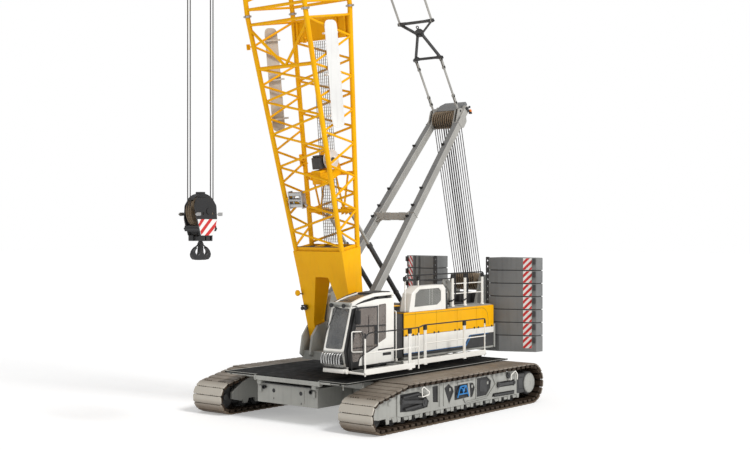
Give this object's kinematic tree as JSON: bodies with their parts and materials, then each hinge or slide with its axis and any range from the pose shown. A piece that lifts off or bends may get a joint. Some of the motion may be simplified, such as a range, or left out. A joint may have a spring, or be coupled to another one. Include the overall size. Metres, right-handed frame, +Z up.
{
  "type": "crawler crane",
  "caption": "Crawler crane: tracked carbody, slewing house with cab and counterweight, lattice boom on a leaning mast with pendants, luffing falls and a hook on vertical falls.",
  "frame": {"origin": "on the ground under the slewing axis, midway along the tracks", "axes": "+X forward to the boom side, +Y to the cab side (machine left), +Z up"},
  "size_m": [13.4955, 7.024, 27.381],
  "materials": {
    "boom_yellow": "semi-gloss yellow-orange paint",
    "house_yellow": "semi-gloss yellow paint",
    "white_paint": "gloss white paint",
    "light_grey": "satin light grey paint",
    "mast_grey": "satin light grey paint",
    "dark_grey": "satin dark grey paint",
    "cw_grey": "painted cast iron",
    "track_steel": "worn cast steel, brownish",
    "black_paint": "satin black",
    "rope_steel": "greased steel rope",
    "sheave_brown": "worn brown cast steel",
    "hook_black": "black forged steel",
    "cab_glass": "dark tinted glass",
    "seat_cloth": "dark cloth"
  },
  "bodies": {
    "undercarriage": {"carbody": "light_grey", "deck_plate": "dark_grey", "central_ballast": "light_grey", "slewing_ring": "dark_grey", "track_frame_left": "light_grey", "track_frame_right": "light_grey", "track_left": "track_steel", "track_right": "track_steel", "track_rollers_left": "dark_grey", "track_rollers_right": "dark_grey", "final_drive_left": "light_grey", "final_drive_right": "light_grey"},
    "upperworks": {"platform": "light_grey", "house_left": "house_yellow", "house_right": "house_yellow", "engine_block": "dark_grey", "grille_housing": "white_paint", "air_intake": "dark_grey", "catwalk_left": "white_paint", "catwalk_right": "white_paint", "handrail_left": "white_paint", "handrail_right": "white_paint", "roof_railing": "black_paint", "cab_floor": "dark_grey", "cab_roof": "black_paint", "cab_sides": "white_paint", "cab_ends": "white_paint", "cab_glass": "cab_glass", "cab_seat": "seat_cloth", "door_rail": "black_paint", "front_guard": "black_paint", "counterweight_base": "cw_grey", "counterweight_left": "cw_grey", "counterweight_right": "cw_grey"},
    "cab_door": {"cab_door": "white_paint", "door_glass": "cab_glass"},
    "luffing_drum": {"luffing_drum": "dark_grey"},
    "hoist_drum": {"hoist_drum": "dark_grey"},
    "mast": {"mast_frame": "mast_grey"},
    "mast_sheaves": {"mast_sheaves": "sheave_brown"},
    "falls": {"falls_sheaves": "sheave_brown", "luffing_falls": "rope_steel"},
    "falls_top": {"luffing_falls_top": "rope_steel"},
    "pendants": {"pendants_low": "dark_grey", "spreader_yoke": "dark_grey", "pendants_high": "dark_grey"},
    "backstop_tubes": {"backstop_tubes": "dark_grey"},
    "backstop_rods": {"backstop_rods": "rope_steel"},
    "boom": {"boom_foot": "boom_yellow", "boom_butt": "boom_yellow", "boom_mid": "boom_yellow", "boom_head": "boom_yellow"},
    "head_sheaves": {"head_sheaves": "sheave_brown"},
    "hoist_high": {"hoist_falls_high": "rope_steel"},
    "hoist_low": {"hoist_falls_low": "rope_steel"},
    "hook_block": {"hook_block": "black_paint"},
    "hook_sheaves": {"hook_sheaves": "sheave_brown"},
    "hook": {"hook": "hook_black"}
  },
  "joints": [
    {"name": "slew", "type": "hinge", "parent": "undercarriage", "child": "upperworks", "pos_m": [0, 0, 1.455], "axis": [0, 0, 1], "continuous": true},
    {"name": "boom_luff", "type": "hinge", "parent": "upperworks", "child": "boom", "pos_m": [1.75, 0, 2.25], "axis": [0, 1, 0], "range_deg": [-6, 45]},
    {"name": "mast_follow", "type": "hinge", "parent": "upperworks", "child": "mast", "pos_m": [1.2, 0, 3.41], "axis": [0, 1, 0], "range_deg": [-7.1, 52.5]},
    {"name": "pendant_follow", "type": "hinge", "parent": "mast", "child": "pendants", "pos_m": [-3.9, 0, 9.56], "axis": [0, 1, 0], "range_deg": [-8, 1.2]},
    {"name": "falls_follow", "type": "hinge", "parent": "upperworks", "child": "falls", "pos_m": [-5.26, 0, 3.76], "axis": [0, 1, 0], "range_deg": [-4.9, 35.4]},
    {"name": "falls_stretch", "type": "slide", "parent": "falls", "child": "falls_top", "axis": [0.2305, 0, 0.9731], "range_m": [-0.706, 5.277], "deforming": ["luffing_falls", "luffing_falls_top"]},
    {"name": "backstop_follow", "type": "hinge", "parent": "upperworks", "child": "backstop_tubes", "pos_m": [-0.9, 0, 3.2], "axis": [0, 1, 0], "range_deg": [-4.2, 30.4]},
    {"name": "backstop_slide", "type": "slide", "parent": "backstop_tubes", "child": "backstop_rods", "axis": [0.6647, 0, 0.7471], "range_m": [-0.242, 1.801]},
    {"name": "hoist_hang", "type": "hinge", "parent": "boom", "child": "hoist_high", "pos_m": [7.36049, 0, 26.84729], "axis": [0, 1, 0], "range_deg": [-45.1, 6.1]},
    {"name": "hoist_wind", "type": "slide", "parent": "hoist_high", "child": "hoist_low", "axis": [0, 0, 1], "range_m": [-1.492, 11.174], "deforming": ["hoist_falls_high"]},
    {"name": "hoist", "type": "slide", "parent": "hoist_low", "child": "hook_block", "axis": [0, 0, 1], "range_m": [-3.3, 8], "deforming": ["hoist_falls_low"]},
    {"name": "hook_sheave_turn", "type": "hinge", "parent": "hook_block", "child": "hook_sheaves", "pos_m": [7.36049, 0, 6.08], "axis": [0, 1, 0], "continuous": true},
    {"name": "hook_swivel", "type": "hinge", "parent": "hook_block", "child": "hook", "pos_m": [7.36049, 0, 5.32], "axis": [0, 0, 1], "continuous": true},
    {"name": "head_sheave_turn", "type": "hinge", "parent": "boom", "child": "head_sheaves", "pos_m": [7.36049, 0, 26.84729], "axis": [0, 1, 0], "continuous": true},
    {"name": "mast_sheave_turn", "type": "hinge", "parent": "mast", "child": "mast_sheaves", "pos_m": [-3.95, 0, 9.29], "axis": [0, 1, 0], "continuous": true},
    {"name": "luffing_drum_turn", "type": "hinge", "parent": "upperworks", "child": "luffing_drum", "pos_m": [-3.3, 0, 2.48], "axis": [0, 1, 0], "continuous": true},
    {"name": "hoist_drum_turn", "type": "hinge", "parent": "upperworks", "child": "hoist_drum", "pos_m": [-2, 0, 2.48], "axis": [0, 1, 0], "continuous": true},
    {"name": "door_slide", "type": "slide", "parent": "upperworks", "child": "cab_door", "axis": [-1, 0, 0], "range_m": [0, 0.74]}
  ],
  "couplings": [
    {"joint": "mast_follow", "follows": "boom_luff", "ratio": 1.1636},
    {"joint": "pendant_follow", "follows": "boom_luff", "ratio": -0.1745},
    {"joint": "falls_follow", "follows": "boom_luff", "ratio": 0.7836},
    {"joint": "falls_stretch", "follows": "boom_luff", "m_per_rad": 6.7155},
    {"joint": "backstop_follow", "follows": "boom_luff", "ratio": 0.6724},
    {"joint": "backstop_slide", "follows": "boom_luff", "m_per_rad": 2.2893},
    {"joint": "hoist_hang", "follows": "boom_luff", "ratio": -1},
    {"joint": "hoist_wind", "follows": "boom_luff", "m_per_rad": 14.224}
  ]
}
